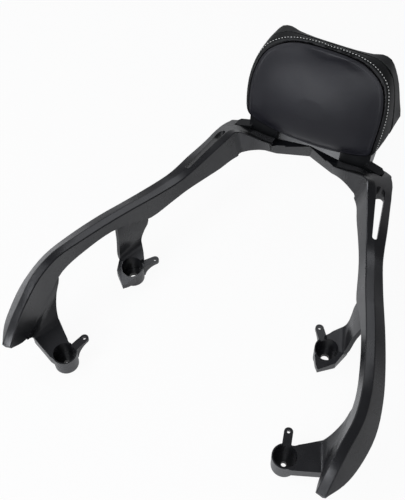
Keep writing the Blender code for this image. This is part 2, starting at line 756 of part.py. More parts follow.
def outward_skin(name, rings, **ends):
    """An open surface round the backrest, with its faces turned outwards."""
    work = skin(name, rings, **ends)
    middle = Vector((0, (pad_front + pad_rear) / 2, rear_outline[0].y * 0.75))
    bmesh.ops.recalc_face_normals(work, faces=work.faces)
    turn = sum((face.calc_center_median() - middle).dot(face.normal) for face in work.faces)
    if turn < 0:
        bmesh.ops.reverse_faces(work, faces=work.faces)
    mesh = bpy.data.meshes.new(name)
    work.to_mesh(mesh)
    work.free()
    return mesh


GUSSET_SHARES = (SEAM, 0.06, 0.2, 0.38, SHELL_START)
SHELL_SHARES = (SHELL_START + SEAM, 0.72, 0.88, 0.96, 1.0)
gusset = piece("gusset_band", outward_skin(
    "gusset_band", [pad_ring(t) for t in GUSSET_SHARES]), SIDE_LEATHER)
solidify(gusset, LEATHER)

shell_rings = [pad_ring(1.0, SHELL_CHAMFER + SHELL_WALL, -SHELL_WALL / math.cos(PAD_REAR_LEAN))]
shell_rings += [pad_ring(t, SHELL_WALL) for t in reversed(SHELL_SHARES[:-2])]
shell_rings += [pad_ring(t) for t in SHELL_SHARES[:-1]]
shell_rings += [pad_ring(1.0, SHELL_CHAMFER)]
back_shell = piece("back_shell", loft("back_shell", shell_rings), SHELL_PLASTIC)

# Foam, board and what lies on the rear plane

lean = Matrix.Rotation(-PAD_REAR_LEAN, 4, "X")
rear_plane = Matrix.Translation((0, pad_rear, rear_middle)) @ lean


def on_rear(x, up, back):
    """A point given across, up and back from the middle of the rear plane."""
    return rear_plane @ Vector((x, back, up))


board_back = -(SHELL_WALL + GAP)
board_front = board_back - BOARD_THICKNESS


def board_outline(back):
    """The rear outline, drawn in towards its middle, on a plane in front of the rear plane."""
    ring = []
    for x, z in drawn_in(rear_outline, SHELL_WALL + BOARD_MARGIN):
        up = (z - rear_middle) / math.cos(PAD_REAR_LEAN)
        ring.append(on_rear(x, up, back))
    return ring


base_board = piece("base_board", loft("base_board", [
    board_outline(board_back), board_outline(board_front)]), BOARD_PLASTIC)

# The foam follows the face, then narrows inside the gusset and the shell to the board.

FOAM_SHARES = ((0.1, 0.0), (0.28, 0.0), (0.5, 0.1))
foam_rings = [face_ring(share, FOAM_SETBACK) for share in FACE_SHARES[:-1]]
foam_rings += [pad_ring(t, inset=LEATHER + FOAM_CLEARANCE + SHELL_WALL * tuck)
               for t, tuck in FOAM_SHARES]
foam_rings += [board_outline(board_front - GAP)]
foam_core = piece("foam_core", loft("foam_core", foam_rings), FOAM)


# Stay
# Top of a leg under the cushion, front to rear: share of the way from the stay's front to the
# rear plane, then millimetres up from the cushion's base at the leg's inner and outer side.

LEG_TOP = [(0.045, 0.6, 7.0), (0.18, 4.8, 10.5), (0.455, 12.8, 19.0), (0.71, 22.2, 28.0),
           (0.955, 32.2, 36.0)]


def leg_ring(x, share, wall=0.0, floor=0.0):
    """Side view of a leg, its top set by a share from the inner to the outer side."""
    foot = SEAT_HEIGHT + GAP + floor
    top = []
    for depth, low, high in LEG_TOP:
        y = blend(STAY_FRONT_Y, pad_rear, depth) + wall
        top.append(Vector((x, y, PAD_BASE + blend(low, high, share) * MM - wall)))
    rear = rear_y(PAD_BASE + LEG_TOP[-1][1] * MM) + GAP + PLATE_THICKNESS
    if wall:
        rear += LEG_ROOM_DEPTH
    return [Vector((x, STAY_FRONT_Y + wall, foot)), *top,
            Vector((x, rear, top[-1].z)), Vector((x, rear, top[-1].z - 2 * STAY_WALL)),
            Vector((x, STAY_FRONT_Y + STAY_DEPTH + (LEG_ROOM_DEPTH if wall else 0.0), foot))]


backrest_stay = piece("backrest_stay", loft("backrest_stay", [
    leg_ring(leg_inner_x, 0.0), leg_ring(STAY_HALF_WIDTH, 1.0)]), STAY_PAINT)

plate = tool("stay_plate", loft("stay_plate", [
    [on_rear(x, up, back) for x, up in (
        (-CUT, PLATE_LOW), (PLATE_HALF_WIDTH, PLATE_LOW),
        (PLATE_HALF_WIDTH, PLATE_HIGH - PLATE_CORNER), (PLATE_HALF_WIDTH - PLATE_CORNER, PLATE_HIGH),
        (-CUT, PLATE_HIGH))]
    for back in (GAP, GAP + PLATE_THICKNESS)]))
boolean(backrest_stay, plate, "UNION")


def web_ring(share):
    """The web from the middle plane to a leg, leaning back up to the foot of the plate."""
    x = (leg_inner_x + STAY_WALL) * share
    front = STAY_FRONT_Y + blend(WEB_POINT, WEB_ROOT, share)
    low = SEAT_HEIGHT + GAP
    rear = rear_y(WEB_TOP) + PLATE_THICKNESS
    return [Vector((x, front, low)), Vector((x, front + WEB_LEAN, WEB_TOP)),
            Vector((x, rear, WEB_TOP + STAY_WALL)), Vector((x, rear, WEB_TOP - STAY_WALL)),
            Vector((x, front + WEB_LEAN, WEB_TOP - 2 * STAY_WALL)),
            Vector((x, front + 2 * STAY_WALL, low))]


web = tool("stay_web", loft("stay_web", [web_ring(-CUT / leg_inner_x), web_ring(1.0)]))
boolean(backrest_stay, web, "UNION")

ear_outline = [
    (STAY_HALF_WIDTH - STAY_WALL, ear_front), (ear_end - EAR_CHAMFER, ear_front),
    (ear_end, ear_front + EAR_CHAMFER), (ear_end, ear_rear - EAR_CHAMFER),
    (ear_end - EAR_CHAMFER, ear_rear), (STAY_HALF_WIDTH - STAY_WALL, ear_rear)]
ear = tool("stay_ear", loft("stay_ear", [
    [on_ear(x, y, lift) for x, y in ear_outline] for lift in (GAP, GAP + EAR_THICKNESS)]))
boolean(backrest_stay, ear, "UNION")

leg_room = tool("leg_room", loft("leg_room", [
    leg_ring(leg_inner_x + STAY_WALL, 0.0, STAY_WALL, STAY_BASE),
    leg_ring(STAY_HALF_WIDTH - STAY_WALL, 1.0, STAY_WALL, STAY_BASE)]))
boolean(backrest_stay, leg_room, "DIFFERENCE")

bite = SEAT_HEIGHT + GAP + STAY_BOLT_BITE + GAP
for k, x in enumerate(bolt_x):
    thread = tool(f"stay_thread_{k}", round_bar(
        f"stay_thread_{k}", STAY_BOLT_RADIUS + GAP, (x, bolt_y, SEAT_HEIGHT - CUT),
        (x, bolt_y, bite), sides=HOLE_SIDES))
    boolean(backrest_stay, thread, "DIFFERENCE")


def rear_holes(body, radius, places, start, end, name):
    """Holes through a piece, along the normal of the rear plane."""
    for k, (x, up) in enumerate(places):
        cutter = tool(f"{name}_{k}", round_bar(
            f"{name}_{k}", radius, on_rear(x, up, start), on_rear(x, up, end), sides=TURNED_SIDES))
        boolean(body, cutter, "DIFFERENCE")


HALF_PAD_BOLTS = [(PAD_BOLT_X, PAD_BOLT_LOW), (PAD_BOLT_X, PAD_BOLT_HIGH)]
PAD_BOLTS = [(side * x, up) for side in (-1, 1) for x, up in HALF_PAD_BOLTS]
SHELL_SCREWS = [(side * x, up) for side in (-1, 1) for x, up in SHELL_SCREW_PLACES]
rear_holes(backrest_stay, PAD_BOLT_RADIUS + GAP, HALF_PAD_BOLTS, -CUT,
           GAP + PLATE_THICKNESS + CUT, "plate_hole")
mirror(backrest_stay)

rear_holes(back_shell, PAD_BOLT_RADIUS + GAP, PAD_BOLTS, -SHELL_WALL - CUT / 2, CUT, "shell_bolt_hole")
rear_holes(back_shell, SHELL_SCREW_RADIUS + GAP, SHELL_SCREWS, -SHELL_WALL - CUT / 2, CUT,
           "shell_screw_hole")
rear_holes(base_board, NUT_BARREL_RADIUS + GAP, PAD_BOLTS, board_front - CUT, board_back + CUT,
           "nut_hole")
rear_holes(base_board, NUT_FLANGE_RADIUS + GAP, PAD_BOLTS, board_front - CUT,
           board_front + NUT_FLANGE + GAP, "nut_seat")
rear_holes(base_board, SHELL_SCREW_RADIUS + GAP, SHELL_SCREWS,
           board_back - SHELL_SCREW_BITE - GAP, board_back + CUT, "screw_pilot")


# Fasteners

def turned(name, profile, closed=False):
    """A body turned about Z from a profile that runs down its outer side."""
    mesh = bpy.data.meshes.new(name)
    points = [Vector((radius, 0, height)) for radius, height in profile]
    edges = [(i, i + 1) for i in range(len(points) - 1)]
    if closed:
        edges.append((len(points) - 1, 0))
    mesh.from_pydata(points, edges, [])
    made = tool(name, mesh)
    step = made.modifiers.new("turn", "SCREW")
    step.axis = "Z"
    step.steps = TURNED_SIDES
    step.render_steps = TURNED_SIDES
    step.use_merge_vertices = True
    step.merge_threshold = 0.00001
    step.use_normal_calculate = True
    return made


def finished(body):
    """The mesh of a body with its modifiers done; the body itself is removed."""
    body_name = body.name
    bpy.context.view_layer.update()
    graph = bpy.context.evaluated_depsgraph_get()
    mesh = bpy.data.meshes.new_from_object(body.evaluated_get(graph))
    bpy.data.objects.remove(body, do_unlink=True)
    work = bmesh.new()
    work.from_mesh(mesh)
    bpy.data.meshes.remove(mesh)
    return finish_mesh(work, body_name)


def ring_mesh(name, bore, radius, thickness):
    """A washer, its underside at the origin."""
    profile = [(bore, thickness), (radius, thickness), (radius, 0.0), (bore, 0.0)]
    return finished(turned(name, profile, closed=True))


def screw_mesh(name, shank, length, head, height, socket, crown):
    """A socket screw: head below the origin, shank above, crown the head's rounded edge."""
    point = shank / 8
    profile = [(0.0, length), (shank - point, length), (shank, length - point),
               (shank, 0.0), (head, 0.0)]
    for k in range(CROWN_TURNS + 1):
        turn = math.pi / 2 * k / CROWN_TURNS
        profile.append((head - crown * (1 - math.cos(turn)), -height + crown * (1 - math.sin(turn))))
    profile.append((0.0, -height))
    body = turned(name, profile)
    recess = tool(name + "_socket", round_bar(
        name + "_socket", socket, (0, 0, -height - CUT), (0, 0, -height / 2), sides=SOCKET_SIDES))
    boolean(body, recess, "DIFFERENCE")
    mesh = finished(body)
    bpy.data.objects.remove(recess, do_unlink=True)
    return mesh


def nut_mesh(name, bore, barrel, length, flange, flange_thickness):
    """A tee nut: flange at the origin, barrel below it."""
    profile = [(bore, flange_thickness), (flange, flange_thickness), (flange, 0.0), (barrel, 0.0),
               (barrel, -length), (bore, -length)]
    return finished(turned(name, profile, closed=True))


def place(name, mesh, surface, matrix):
    made = piece(name, mesh, surface)
    made.matrix_local = matrix
    return made


# Stay bolts, each with a washer against the spot face

washer_mesh = ring_mesh("stay_washer", STAY_BOLT_RADIUS + GAP,
                        STAY_BOLT_RADIUS + WASHER_OVERHANG, WASHER_THICKNESS)
stay_bolt_length = (WASHER_THICKNESS + GAP + STAY_BOLT_GRIP + GAP + STAY_BOLT_BITE)
bolt_mesh = screw_mesh("stay_bolt", STAY_BOLT_RADIUS, stay_bolt_length, STAY_BOLT_HEAD_RADIUS,
                       STAY_BOLT_HEAD_HEIGHT, STAY_BOLT_SOCKET, STAY_BOLT_CROWN)
washer_low = spot_height - GAP - WASHER_THICKNESS
for side_name, side in (("left", -1), ("right", 1)):
    for place_name, x in zip(("inner", "outer"), bolt_x):
        label = f"{side_name}_{place_name}"
        place(f"stay_washer_{label}", washer_mesh, STEEL,
              Matrix.Translation((side * x, bolt_y, washer_low)))
        place(f"stay_bolt_{label}", bolt_mesh, STEEL,
              Matrix.Translation((side * x, bolt_y, washer_low - GAP)))

# Backrest bolts, washers and tee nuts, and the screws of the shell

pad_washer = ring_mesh("pad_washer", PAD_BOLT_RADIUS + GAP, PAD_WASHER_RADIUS, PAD_WASHER_THICKNESS)
head_back = GAP + PLATE_THICKNESS + GAP + PAD_WASHER_THICKNESS + GAP
pad_bolt = screw_mesh("pad_bolt", PAD_BOLT_RADIUS, head_back - board_front - GAP,
                      PAD_BOLT_HEAD_RADIUS, PAD_BOLT_HEAD_HEIGHT, PAD_BOLT_SOCKET, PAD_BOLT_CROWN)
tee_nut = nut_mesh("t_nut", PAD_BOLT_RADIUS + GAP, NUT_BARREL_RADIUS, NUT_BARREL,
                   NUT_FLANGE_RADIUS, NUT_FLANGE)
shell_screw = screw_mesh("shell_screw", SHELL_SCREW_RADIUS, SHELL_SCREW_GRIP + SHELL_SCREW_BITE,
                         SHELL_SCREW_HEAD_RADIUS, SHELL_SCREW_HEAD_HEIGHT,
                         SHELL_SCREW_SOCKET, SHELL_SCREW_CROWN)
forward = Matrix.Rotation(math.pi / 2, 4, "X")


def facing_forward(x, up, back):
    """A place on the rear plane with +Z turned to point forward, square to the plane."""
    return rear_plane @ Matrix.Translation((x, back, up)) @ forward


for side_name, side in (("left", -1), ("right", 1)):
    for place_name, (x, up) in zip(("lower", "upper"), HALF_PAD_BOLTS):
        label = f"{side_name}_{place_name}"
        place(f"pad_washer_{label}", pad_washer, STEEL,
              facing_forward(side * x, up, head_back - GAP))
        place(f"pad_bolt_{label}", pad_bolt, STEEL, facing_forward(side * x, up, head_back))
        place(f"t_nut_{label}", tee_nut, STEEL,
              facing_forward(side * x, up, board_front + NUT_FLANGE))
    for place_name, (x, up) in zip(("lower", "upper"), SHELL_SCREW_PLACES):
        place(f"shell_screw_{side_name}_{place_name}", shell_screw, STEEL,
              facing_forward(side * x, up, GAP))


# Origin under the middle of the rack, on the plane that the bosses stand on

bpy.context.view_layer.update()
graph = bpy.context.evaluated_depsgraph_get()
reach_y = [(made.matrix_world @ Vector(corner)).y
           for made in parts.objects if made.type == "MESH"
           for corner in made.evaluated_get(graph).bound_box]
rack_frame.location = (0.0, -(min(reach_y) + max(reach_y)) / 2, -NUB_FOOT)
bpy.context.view_layer.update()
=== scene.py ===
import math

import bmesh
import bpy
from mathutils import Matrix, Vector, kdtree
from mathutils.bvhtree import BVHTree


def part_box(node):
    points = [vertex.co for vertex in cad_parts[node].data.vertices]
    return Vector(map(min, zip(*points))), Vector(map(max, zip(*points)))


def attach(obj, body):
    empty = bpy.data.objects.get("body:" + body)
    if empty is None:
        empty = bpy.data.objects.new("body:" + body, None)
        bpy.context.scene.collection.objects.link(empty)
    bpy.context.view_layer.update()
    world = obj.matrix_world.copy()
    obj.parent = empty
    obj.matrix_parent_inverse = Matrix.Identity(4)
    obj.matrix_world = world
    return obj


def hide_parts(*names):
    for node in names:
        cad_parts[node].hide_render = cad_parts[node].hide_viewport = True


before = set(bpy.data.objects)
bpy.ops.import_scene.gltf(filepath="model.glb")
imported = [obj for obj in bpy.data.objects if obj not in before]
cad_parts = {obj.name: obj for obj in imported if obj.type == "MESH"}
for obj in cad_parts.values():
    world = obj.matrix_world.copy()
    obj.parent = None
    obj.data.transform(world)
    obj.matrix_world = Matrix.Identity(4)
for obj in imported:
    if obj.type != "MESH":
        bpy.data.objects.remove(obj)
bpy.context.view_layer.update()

# Camera and paper
# The rack is seen from above its left front corner, through a lens of 59 mm.  It stands on
# its four bosses on white paper, and the paper keeps only a faint shadow.

LENS = 59.04
SENSOR_WIDTH = 36.0
CAMERA_PLACE = (0.2398, -0.6184, 0.9570)
CAMERA_DIRECTION = (-0.2687, 0.5321, -0.8030)
PAPER_RADIUS = 9.0
PAPER_CORNERS = 96
PAPER_BELOW = 0.0005
PAPER_GREY = 0.82
PAPER_GLOW = 0.94
PAPER_IN_REFLECTIONS = 0.30

rack_camera = bpy.data.cameras.new("rack_camera")
rack_camera.lens = LENS
rack_camera.sensor_width = SENSOR_WIDTH
rack_camera.clip_end = 20.0
viewpoint = bpy.data.objects.new("viewpoint", rack_camera)
bpy.context.scene.collection.objects.link(viewpoint)
viewpoint.location = CAMERA_PLACE
viewpoint.rotation_mode = "QUATERNION"
viewpoint.rotation_quaternion = Vector(CAMERA_DIRECTION).to_track_quat("-Z", "Y")
bpy.context.scene.camera = viewpoint
bpy.context.scene.view_settings.view_transform = "Standard"


def fresh_material(name):
    """A new material with its nodes and links."""
    made = bpy.data.materials.new(name)
    made.use_nodes = True
    return made, made.node_tree.nodes, made.node_tree.links


def select_only(*objects):
    """Selects these objects alone; the first is the active one."""
    bpy.ops.object.select_all(action="DESELECT")
    for one in objects:
        one.select_set(True)
    bpy.context.view_layer.objects.active = objects[0]


bpy.ops.object.select_all(action="DESELECT")
bpy.ops.mesh.primitive_circle_add(
    vertices=PAPER_CORNERS, radius=PAPER_RADIUS, fill_type="NGON", location=(0, 0, -PAPER_BELOW))
paper = bpy.context.object
paper.name = "white_paper"
paper_white, nodes, links = fresh_material("white_paper")
shader = nodes["Principled BSDF"]
shader.inputs["Base Color"].default_value = (PAPER_GREY, PAPER_GREY, PAPER_GREY, 1.0)
shader.inputs["Roughness"].default_value = 0.9
shader.inputs["Specular IOR Level"].default_value = 0.0
glow = nodes.new("ShaderNodeEmission")
glow.inputs["Strength"].default_value = 1.0
seen = nodes.new("ShaderNodeLightPath")
camera_or_clear = nodes.new("ShaderNodeMath")
camera_or_clear.operation = "MAXIMUM"
links.new(seen.outputs["Is Camera Ray"], camera_or_clear.inputs[0])
links.new(seen.outputs["Is Transmission Ray"], camera_or_clear.inputs[1])
part_glossy = nodes.new("ShaderNodeMath")
part_glossy.operation = "MULTIPLY"
part_glossy.inputs[1].default_value = PAPER_IN_REFLECTIONS
links.new(seen.outputs["Is Glossy Ray"], part_glossy.inputs[0])
any_of_three = nodes.new("ShaderNodeMath")
any_of_three.operation = "MAXIMUM"
links.new(camera_or_clear.outputs[0], any_of_three.inputs[0])
links.new(part_glossy.outputs[0], any_of_three.inputs[1])
dimmed = nodes.new("ShaderNodeMixShader")
dimmed.inputs["Fac"].default_value = PAPER_GLOW
links.new(shader.outputs["BSDF"], dimmed.inputs[1])
links.new(glow.outputs["Emission"], dimmed.inputs[2])
shown = nodes.new("ShaderNodeMixShader")
links.new(any_of_three.outputs[0], shown.inputs["Fac"])
links.new(shader.outputs["BSDF"], shown.inputs[1])
links.new(dimmed.outputs["Shader"], shown.inputs[2])
links.new(shown.outputs["Shader"], nodes["Material Output"].inputs["Surface"])
paper.data.materials.append(paper_white)

# Light
# A tent of soft white light, brightest near the paper and dim overhead, with four wide lamps:
# high on the picture's left, over the camera, behind the backrest and in front of the cushion.

TENT_LOW = (0.46, 0.46, 0.475, 1.0)
TENT_HIGH = (0.085, 0.085, 0.089, 1.0)
TENT_HIGH_FROM = 0.6
LAMP_TINT = (0.93, 0.95, 1.0)
RACK_MIDDLE = (0, 0, 0.05)
CUSHION_FRONT = (0, 0.2, 0.1)

tent = bpy.data.worlds.new("light_tent")
bpy.context.scene.world = tent
tent.use_nodes = True
nodes, links = tent.node_tree.nodes, tent.node_tree.links
direction = nodes.new("ShaderNodeTexCoord")
height = nodes.new("ShaderNodeSeparateXYZ")
links.new(direction.outputs["Generated"], height.inputs["Vector"])
fade = nodes.new("ShaderNodeValToRGB")
fade.color_ramp.elements[0].position = 0.0
fade.color_ramp.elements[0].color = TENT_LOW
fade.color_ramp.elements[1].position = TENT_HIGH_FROM
fade.color_ramp.elements[1].color = TENT_HIGH
links.new(height.outputs["Z"], fade.inputs["Fac"])
links.new(fade.outputs["Color"], nodes["Background"].inputs["Color"])
nodes["Background"].inputs["Strength"].default_value = 1.0


def soft_lamp(name, place, target, width, watts):
    """A round lamp at a place, turned to its target."""
    lamp = bpy.data.lights.new(name, "AREA")
    lamp.shape = "DISK"
    lamp.size = width
    lamp.energy = watts
    lamp.color = LAMP_TINT
    holder = bpy.data.objects.new(name, lamp)
    bpy.context.scene.collection.objects.link(holder)
    holder.location = place
    holder.rotation_mode = "QUATERNION"
    holder.rotation_quaternion = (Vector(target) - Vector(place)).to_track_quat("-Z", "Y")


soft_lamp("lamp_over_left", (-1.3, -0.5, 1.7), RACK_MIDDLE, width=1.0, watts=12.0)
soft_lamp("lamp_over_camera", (0.45, -1.5, 1.75), RACK_MIDDLE, width=0.8, watts=12.0)
soft_lamp("lamp_behind", (-0.6, 1.7, 1.9), RACK_MIDDLE, width=1.6, watts=7.0)
soft_lamp("lamp_in_front", (-0.75, -2.1, 0.95), CUSHION_FRONT, width=1.4, watts=29.0)

# Cast rail
# One aluminium casting carries both arms, the four bosses and the seat of the stay.  It is
# powder-coated satin black, and the coat leaves every edge slightly round.

MERGE_DISTANCE = 0.00002
FLAT_BELOW = math.radians(0.8)
CASTING_EDGE = 0.0009
ROUND_FROM = math.radians(26.5)
SMOOTH_BELOW = math.radians(31)
FLATS_WEIGHT = 60
COAT_DEPTH = 0.00004
GRIT_SHARE = 0.45
TINT_FROM = 0.35
TINT_TO = 0.65
SPREAD_FROM = 0.3
SPREAD_TO = 0.7


def copy_of(node, name):
    """A free copy of a CAD node, its loose triangles joined and flat areas made one face."""
    select_only(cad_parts[node])
    bpy.ops.object.duplicate()
    made = bpy.context.object
    made.name = name
    made.data.name = name
    made.parent = None
    for key in list(made.keys()):
        del made[key]
    bpy.ops.object.mode_set(mode="EDIT")
    bpy.ops.mesh.select_all(action="SELECT")
    bpy.ops.mesh.remove_doubles(threshold=MERGE_DISTANCE)
    bpy.ops.mesh.dissolve_limited(angle_limit=FLAT_BELOW)
    bpy.ops.object.mode_set(mode="OBJECT")
    return made


def finish_piece(made, surface, slot_name, *stands_for):
    """Gives a piece its one material and its body, and hides the CAD nodes it stands for;
    slot_name is not used.
    """
    made.data.materials.clear()
    made.data.materials.append(surface)
    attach(made, "root")
    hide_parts(*stands_for)


def round_edges(made, radius, steps=2):
    """Rounds the sharp edges; the flat sides stay flat in the shading."""
    bevel = made.modifiers.new("round_edges", "BEVEL")
    bevel.width = radius
    bevel.segments = steps
    bevel.limit_method = "ANGLE"
    bevel.angle_limit = ROUND_FROM
    bevel.use_clamp_overlap = True
    select_only(made)
    bpy.ops.object.modifier_apply(modifier="round_edges")
    bpy.ops.object.shade_smooth_by_angle(angle=SMOOTH_BELOW)
    flats = made.modifiers.new("flats", "WEIGHTED_NORMAL")
    flats.weight = FLATS_WEIGHT
    flats.keep_sharp = True
    bpy.ops.object.modifier_apply(modifier="flats")


def new_group(name, inputs, outputs):
    """An empty node group; inputs are (name, default) numbers, outputs are names of values."""
    group = bpy.data.node_groups.new(name, "ShaderNodeTree")
    for label, value in inputs:
        socket = group.interface.new_socket(label, in_out="INPUT", socket_type="NodeSocketFloat")
        socket.default_value = value
    for label in outputs:
        group.interface.new_socket(label, in_out="OUTPUT", socket_type="NodeSocketFloat")
    entry = group.nodes.new("NodeGroupInput")
    leave = group.nodes.new("NodeGroupOutput")
    return group, entry, leave


# Powder coat: a soft orange peel of about two millimetres over a fine grit.
powder_coat, entry, leave = new_group(
    "powder_coat", [("Peel Scale", 420.0), ("Grit Scale", 2600.0)], ["Height", "Cloud"])
nodes, links = powder_coat.nodes, powder_coat.links
where = nodes.new("ShaderNodeTexCoord")
peel = nodes.new("ShaderNodeTexNoise")
peel.inputs["Detail"].default_value = 1.0
grit = nodes.new("ShaderNodeTexNoise")
grit.inputs["Detail"].default_value = 2.0
cloud = nodes.new("ShaderNodeTexNoise")
cloud.inputs["Scale"].default_value = 26.0
cloud.inputs["Detail"].default_value = 3.0
for texture in (peel, grit, cloud):
    links.new(where.outputs["Object"], texture.inputs["Vector"])
links.new(entry.outputs["Peel Scale"], peel.inputs["Scale"])
links.new(entry.outputs["Grit Scale"], grit.inputs["Scale"])
part_grit = nodes.new("ShaderNodeMath")
part_grit.operation = "MULTIPLY_ADD"
part_grit.inputs[1].default_value = GRIT_SHARE
links.new(grit.outputs["Fac"], part_grit.inputs[0])
links.new(peel.outputs["Fac"], part_grit.inputs[2])
links.new(part_grit.outputs[0], leave.inputs["Height"])
links.new(cloud.outputs["Fac"], leave.inputs["Cloud"])


def tinted(nodes, links, mask, shader, dark, light):
    """Base colour that drifts between two shades with a mask."""
    ramp = nodes.new("ShaderNodeValToRGB")
    ramp.color_ramp.elements[0].position = TINT_FROM
    ramp.color_ramp.elements[0].color = (*dark, 1.0)
    ramp.color_ramp.elements[1].position = TINT_TO
    ramp.color_ramp.elements[1].color = (*light, 1.0)
    links.new(mask, ramp.inputs["Fac"])
    links.new(ramp.outputs["Color"], shader.inputs["Base Color"])


def varied(nodes, links, mask, socket, low, high):
    """A socket that follows a mask between two values."""
    spread = nodes.new("ShaderNodeMapRange")
    spread.inputs["From Min"].default_value = SPREAD_FROM
    spread.inputs["From Max"].default_value = SPREAD_TO
    spread.inputs["To Min"].default_value = low
    spread.inputs["To Max"].default_value = high
    links.new(mask, spread.inputs["Value"])
    links.new(spread.outputs["Result"], socket)


def bumped(nodes, links, height, shader, strength, distance):
    """A fine relief from a height in the shader's normal."""
    bump = nodes.new("ShaderNodeBump")
    bump.inputs["Strength"].default_value = strength
    bump.inputs["Distance"].default_value = distance
    links.new(height, bump.inputs["Height"])
    links.new(bump.outputs["Normal"], shader.inputs["Normal"])


def coated(name, dark, light, rough_low, rough_high, gloss):
    """Powder coat between two shades and two roughnesses."""
    made, nodes, links = fresh_material(name)
    shader = nodes["Principled BSDF"]
    coat = nodes.new("ShaderNodeGroup")
    coat.node_tree = powder_coat
    tinted(nodes, links, coat.outputs["Cloud"], shader, dark, light)
    varied(nodes, links, coat.outputs["Cloud"], shader.inputs["Roughness"], rough_low, rough_high)
    bumped(nodes, links, coat.outputs["Height"], shader, strength=0.5, distance=COAT_DEPTH)
    shader.inputs["Specular IOR Level"].default_value = gloss
    return made


rail_black = coated("rail_powder_coat", (0.0076, 0.0079, 0.0092), (0.0106, 0.0110, 0.0126),
                    rough_low=0.25, rough_high=0.32, gloss=0.84)
rail = copy_of("grab_rail", "cast_rail")
round_edges(rail, CASTING_EDGE)
finish_piece(rail, rail_black, "rail_paint", "grab_rail")

# Backrest stay
# A smaller casting with two hollow legs, a web between them and a plate behind the
# cushion.  Its coat is a shade duller than the rail's.

stay_black = coated("stay_powder_coat", (0.0070, 0.0074, 0.0080), (0.0098, 0.0103, 0.0110),
                    rough_low=0.30, rough_high=0.38, gloss=0.60)
stay = copy_of("backrest_stay", "cast_stay")
round_edges(stay, CASTING_EDGE)
finish_piece(stay, stay_black, "stay_paint", "backrest_stay")

# Screws, washers and tee nuts
# Zinc-plated steel, all bought parts.  Their heads show behind the backrest and under the
# rail, and the plating is slightly mottled.

FASTENERS = ("stay_bolt", "stay_washer", "pad_bolt", "pad_washer", "t_nut", "shell_screw")
FASTENER_EDGE = 0.00015

zinc, nodes, links = fresh_material("zinc_plate")
shader = nodes["Principled BSDF"]
shader.inputs["Metallic"].default_value = 1.0
where = nodes.new("ShaderNodeTexCoord")
plating = nodes.new("ShaderNodeTexNoise")
plating.inputs["Scale"].default_value = 700.0
plating.inputs["Detail"].default_value = 3.0
links.new(where.outputs["Object"], plating.inputs["Vector"])
tinted(nodes, links, plating.outputs["Fac"], shader,
       dark=(0.47, 0.48, 0.50), light=(0.60, 0.61, 0.62))
varied(nodes, links, plating.outputs["Fac"], shader.inputs["Roughness"], low=0.28, high=0.42)
bumped(nodes, links, plating.outputs["Fac"], shader, strength=0.3, distance=0.00003)

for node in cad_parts:
    if node.startswith(FASTENERS):
        fastener = copy_of(node, "zinc_" + node)
        round_edges(fastener, FASTENER_EDGE, steps=1)
        finish_piece(fastener, zinc, "steel", node)

# Back shell of the backrest
# A moulded cup of black plastic with a fine grain.  It wraps the rear half of the cushion
# and rises to a blunt corner at each side of the top.  The board inside it is moulded too.

SHELL_EDGE = 0.0007

moulded_grain, entry, leave = new_group(
    "moulded_grain", [("Scale", 1500.0)], ["Height", "Cloud"])
nodes, links = moulded_grain.nodes, moulded_grain.links
where = nodes.new("ShaderNodeTexCoord")
cells = nodes.new("ShaderNodeTexVoronoi")
cells.feature = "SMOOTH_F1"
cloud = nodes.new("ShaderNodeTexNoise")
cloud.inputs["Scale"].default_value = 34.0
for texture in (cells, cloud):
    links.new(where.outputs["Object"], texture.inputs["Vector"])
links.new(entry.outputs["Scale"], cells.inputs["Scale"])
links.new(cells.outputs["Distance"], leave.inputs["Height"])
links.new(cloud.outputs["Fac"], leave.inputs["Cloud"])


def moulded(name, dark, light, rough_low, rough_high):
    """Grained plastic between two shades and two roughnesses."""
    made, nodes, links = fresh_material(name)
    shader = nodes["Principled BSDF"]
    grain = nodes.new("ShaderNodeGroup")
    grain.node_tree = moulded_grain
    tinted(nodes, links, grain.outputs["Cloud"], shader, dark, light)
    varied(nodes, links, grain.outputs["Cloud"], shader.inputs["Roughness"], rough_low, rough_high)
    bumped(nodes, links, grain.outputs["Height"], shader, strength=0.35, distance=0.00008)
    return made


shell_black = moulded("shell_plastic", (0.0085, 0.0098, 0.0096), (0.0120, 0.0134, 0.0130),
                      rough_low=0.5, rough_high=0.6)
shell = copy_of("back_shell", "moulded_shell")
round_edges(shell, SHELL_EDGE)
finish_piece(shell, shell_black, "shell_plastic", "back_shell")

board_black = moulded("board_plastic", (0.035, 0.035, 0.035), (0.05, 0.05, 0.05),
                      rough_low=0.55, rough_high=0.65)
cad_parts["base_board"].data.materials.clear()
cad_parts["base_board"].data.materials.append(board_black)

# Cushion of the backrest
# Moulded foam in a sewn leather cover: a crowned front panel and a gusset round it.  The
# cover is swollen from the foam by a cloth simulation and then drawn in at its seam.

CREASE_SHARE = 0.6
VOXEL = 0.0036
SLACK = 0.0025
CLOTH_MASS = 0.25
CLOTH_TENSION = 12.0
CLOTH_SHEAR = 6.0
CLOTH_BENDING = 0.6
CLOTH_PRESSURE = 4.0
CLOTH_FRAMES = 20
SWELL_CAP = 0.0050
EASE = 0.5
START_PASSES = 4
SWELL_PASSES = 6
SEAM_PASSES = 3
SHEET_LEVELS = 3
FRONT_FACING = -0.2
CURVE_STEPS = 16
SEAM_STEP = 0.0006
SEAM_REACH = 0.0160
PANEL_HOLD = 0.55
GUSSET_HOLD = 0.85
HOLD_FALL = 3
GUSSET_LEAST = 0.0080
SEAM_NEAR = 0.0060
SEAM_NEAREST = 0.0028
SEAM_PULL = 0.0016
SEAM_DEPTH = 0.0010
SEAM_WIDTH = 0.0011
# The next two values are the width and the near-black colour of the shade painted into the leather
# along the seam groove.
SEAM_SHADE = 0.0015
PAINTED_SEAM_SHADE = (0.002, 0.002, 0.002, 1.0)

